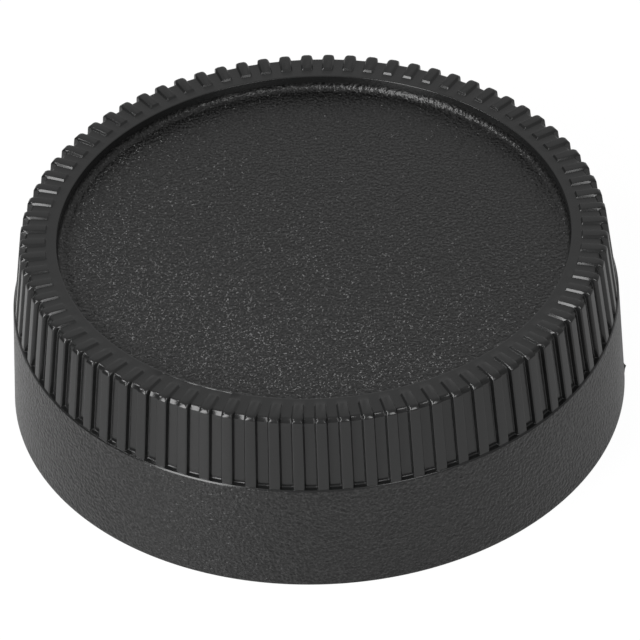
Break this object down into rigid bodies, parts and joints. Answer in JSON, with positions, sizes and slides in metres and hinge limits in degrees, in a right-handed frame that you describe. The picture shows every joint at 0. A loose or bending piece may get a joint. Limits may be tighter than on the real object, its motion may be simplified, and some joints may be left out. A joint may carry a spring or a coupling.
{
  "type": "rear lens cap",
  "caption": "Round rear cap for a camera lens: a shallow black plastic cup with a plain tapered skirt, a ribbed grip, a sunk grained top and bayonet lugs inside the mouth.",
  "frame": {"origin": "centre of the mouth plane, which is the plane the cap stands on", "axes": "+Z along the cup's axis, from the open mouth towards the closed top; a rib is centred on -Y"},
  "size_m": [0.06, 0.06, 0.019],
  "materials": {
    "cap_plastic": "black moulded plastic, satin on the ribs and rim, fine grain on the skirt, coarse grain on the sunk top"
  },
  "bodies": {
    "root": {"cap": "cap_plastic"}
  },
  "joints": []
}
